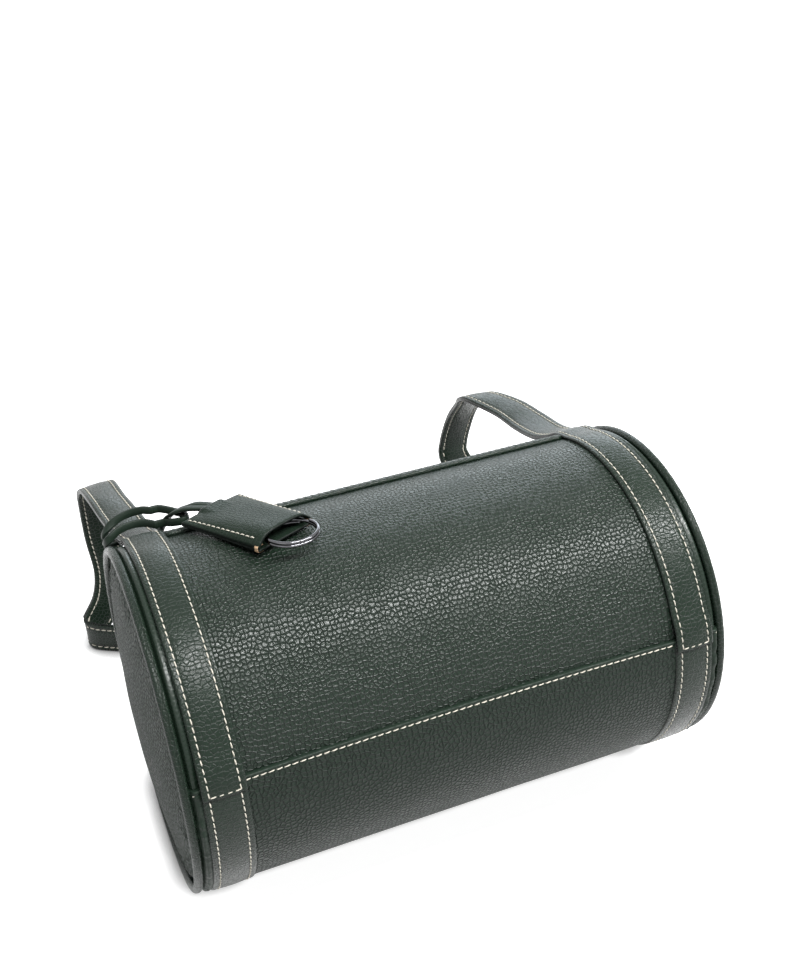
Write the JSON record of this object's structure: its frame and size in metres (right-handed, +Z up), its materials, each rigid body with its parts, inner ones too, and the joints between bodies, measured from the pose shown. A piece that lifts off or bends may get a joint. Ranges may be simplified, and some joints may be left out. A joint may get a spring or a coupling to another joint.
{
  "type": "shoulder bag",
  "caption": "Cylindrical leather shoulder bag with domed piped ends, a zipped top and one strap that carries on into stitched bands, with a leather key tag.",
  "frame": {"origin": "on the surface the bag lies on, under the middle of the barrel, at the middle of the flat patch of base that touches it", "axes": "+X along the barrel to its right end, -Y towards the viewer, the side away from the strap, +Z up"},
  "size_m": [0.2853, 0.2741, 0.1798],
  "materials": {
    "body_leather": "pebbled",
    "band_leather": "smooth grain",
    "lace_leather": "smooth",
    "board": "matte",
    "cord": "twisted",
    "lining_fabric": "plain weave",
    "zip_tape": "woven tape",
    "zip_metal": "dark plated",
    "ring_metal": "polished"
  },
  "bodies": {
    "bag": {"front_panel": "body_leather", "back_panel": "body_leather", "base_panel": "body_leather", "base_board": "board", "lining": "lining_fabric", "left_end_panel": "body_leather", "right_end_panel": "body_leather", "left_end_board": "board", "right_end_board": "board", "left_binding": "body_leather", "right_binding": "body_leather", "left_piping_core": "cord", "right_piping_core": "cord", "left_front_band": "band_leather", "right_front_band": "band_leather", "left_back_band": "band_leather", "right_back_band": "band_leather", "left_base_band": "band_leather", "right_base_band": "band_leather", "front_zip_facing": "body_leather", "back_zip_facing": "body_leather", "front_zip_tape": "zip_tape", "back_zip_tape": "zip_tape", "front_zip_teeth": "zip_metal", "back_zip_teeth": "zip_metal", "zip_stops": "zip_metal"},
    "slider": {"zip_slider": "zip_metal"},
    "puller": {"zip_pull_ring": "zip_metal", "zip_pull_tab": "body_leather"},
    "strap": {"strap_face": "band_leather", "strap_backing": "band_leather", "tag_lace_loops": "lace_leather"},
    "tag": {"tag_lace": "lace_leather", "tag_top_leather": "body_leather", "tag_bottom_leather": "body_leather", "key_ring_loop": "lace_leather"},
    "ring": {"key_ring": "ring_metal"}
  },
  "joints": [
    {"name": "zip_slide", "type": "slide", "parent": "bag", "child": "slider", "axis": [1, 0, 0], "range_m": [0, 0.174], "deforming": ["front_zip_teeth", "back_zip_teeth"]},
    {"name": "puller_flip", "type": "hinge", "parent": "slider", "child": "puller", "pos_m": [-0.0858, 0.05485, 0.15263], "axis": [1, 0, 0], "range_deg": [0, 45]},
    {"name": "strap_swing", "type": "hinge", "parent": "bag", "child": "strap", "pos_m": [0, 0.05343, 0.15088], "axis": [1, 0, 0], "range_deg": [0, 105]},
    {"name": "tag_hang", "type": "hinge", "parent": "strap", "child": "tag", "pos_m": [-0.105, 0.072, 0.146], "axis": [1, 0, 0], "range_deg": [-92, 0]},
    {"name": "ring_turn", "type": "hinge", "parent": "tag", "child": "ring", "pos_m": [-0.05584, 0.00132, 0.17523], "axis": [0, 0.2419, 0.9703], "continuous": true}
  ],
  "couplings": [
    {"joint": "tag_hang", "follows": "strap_swing", "ratio": -0.85}
  ]
}
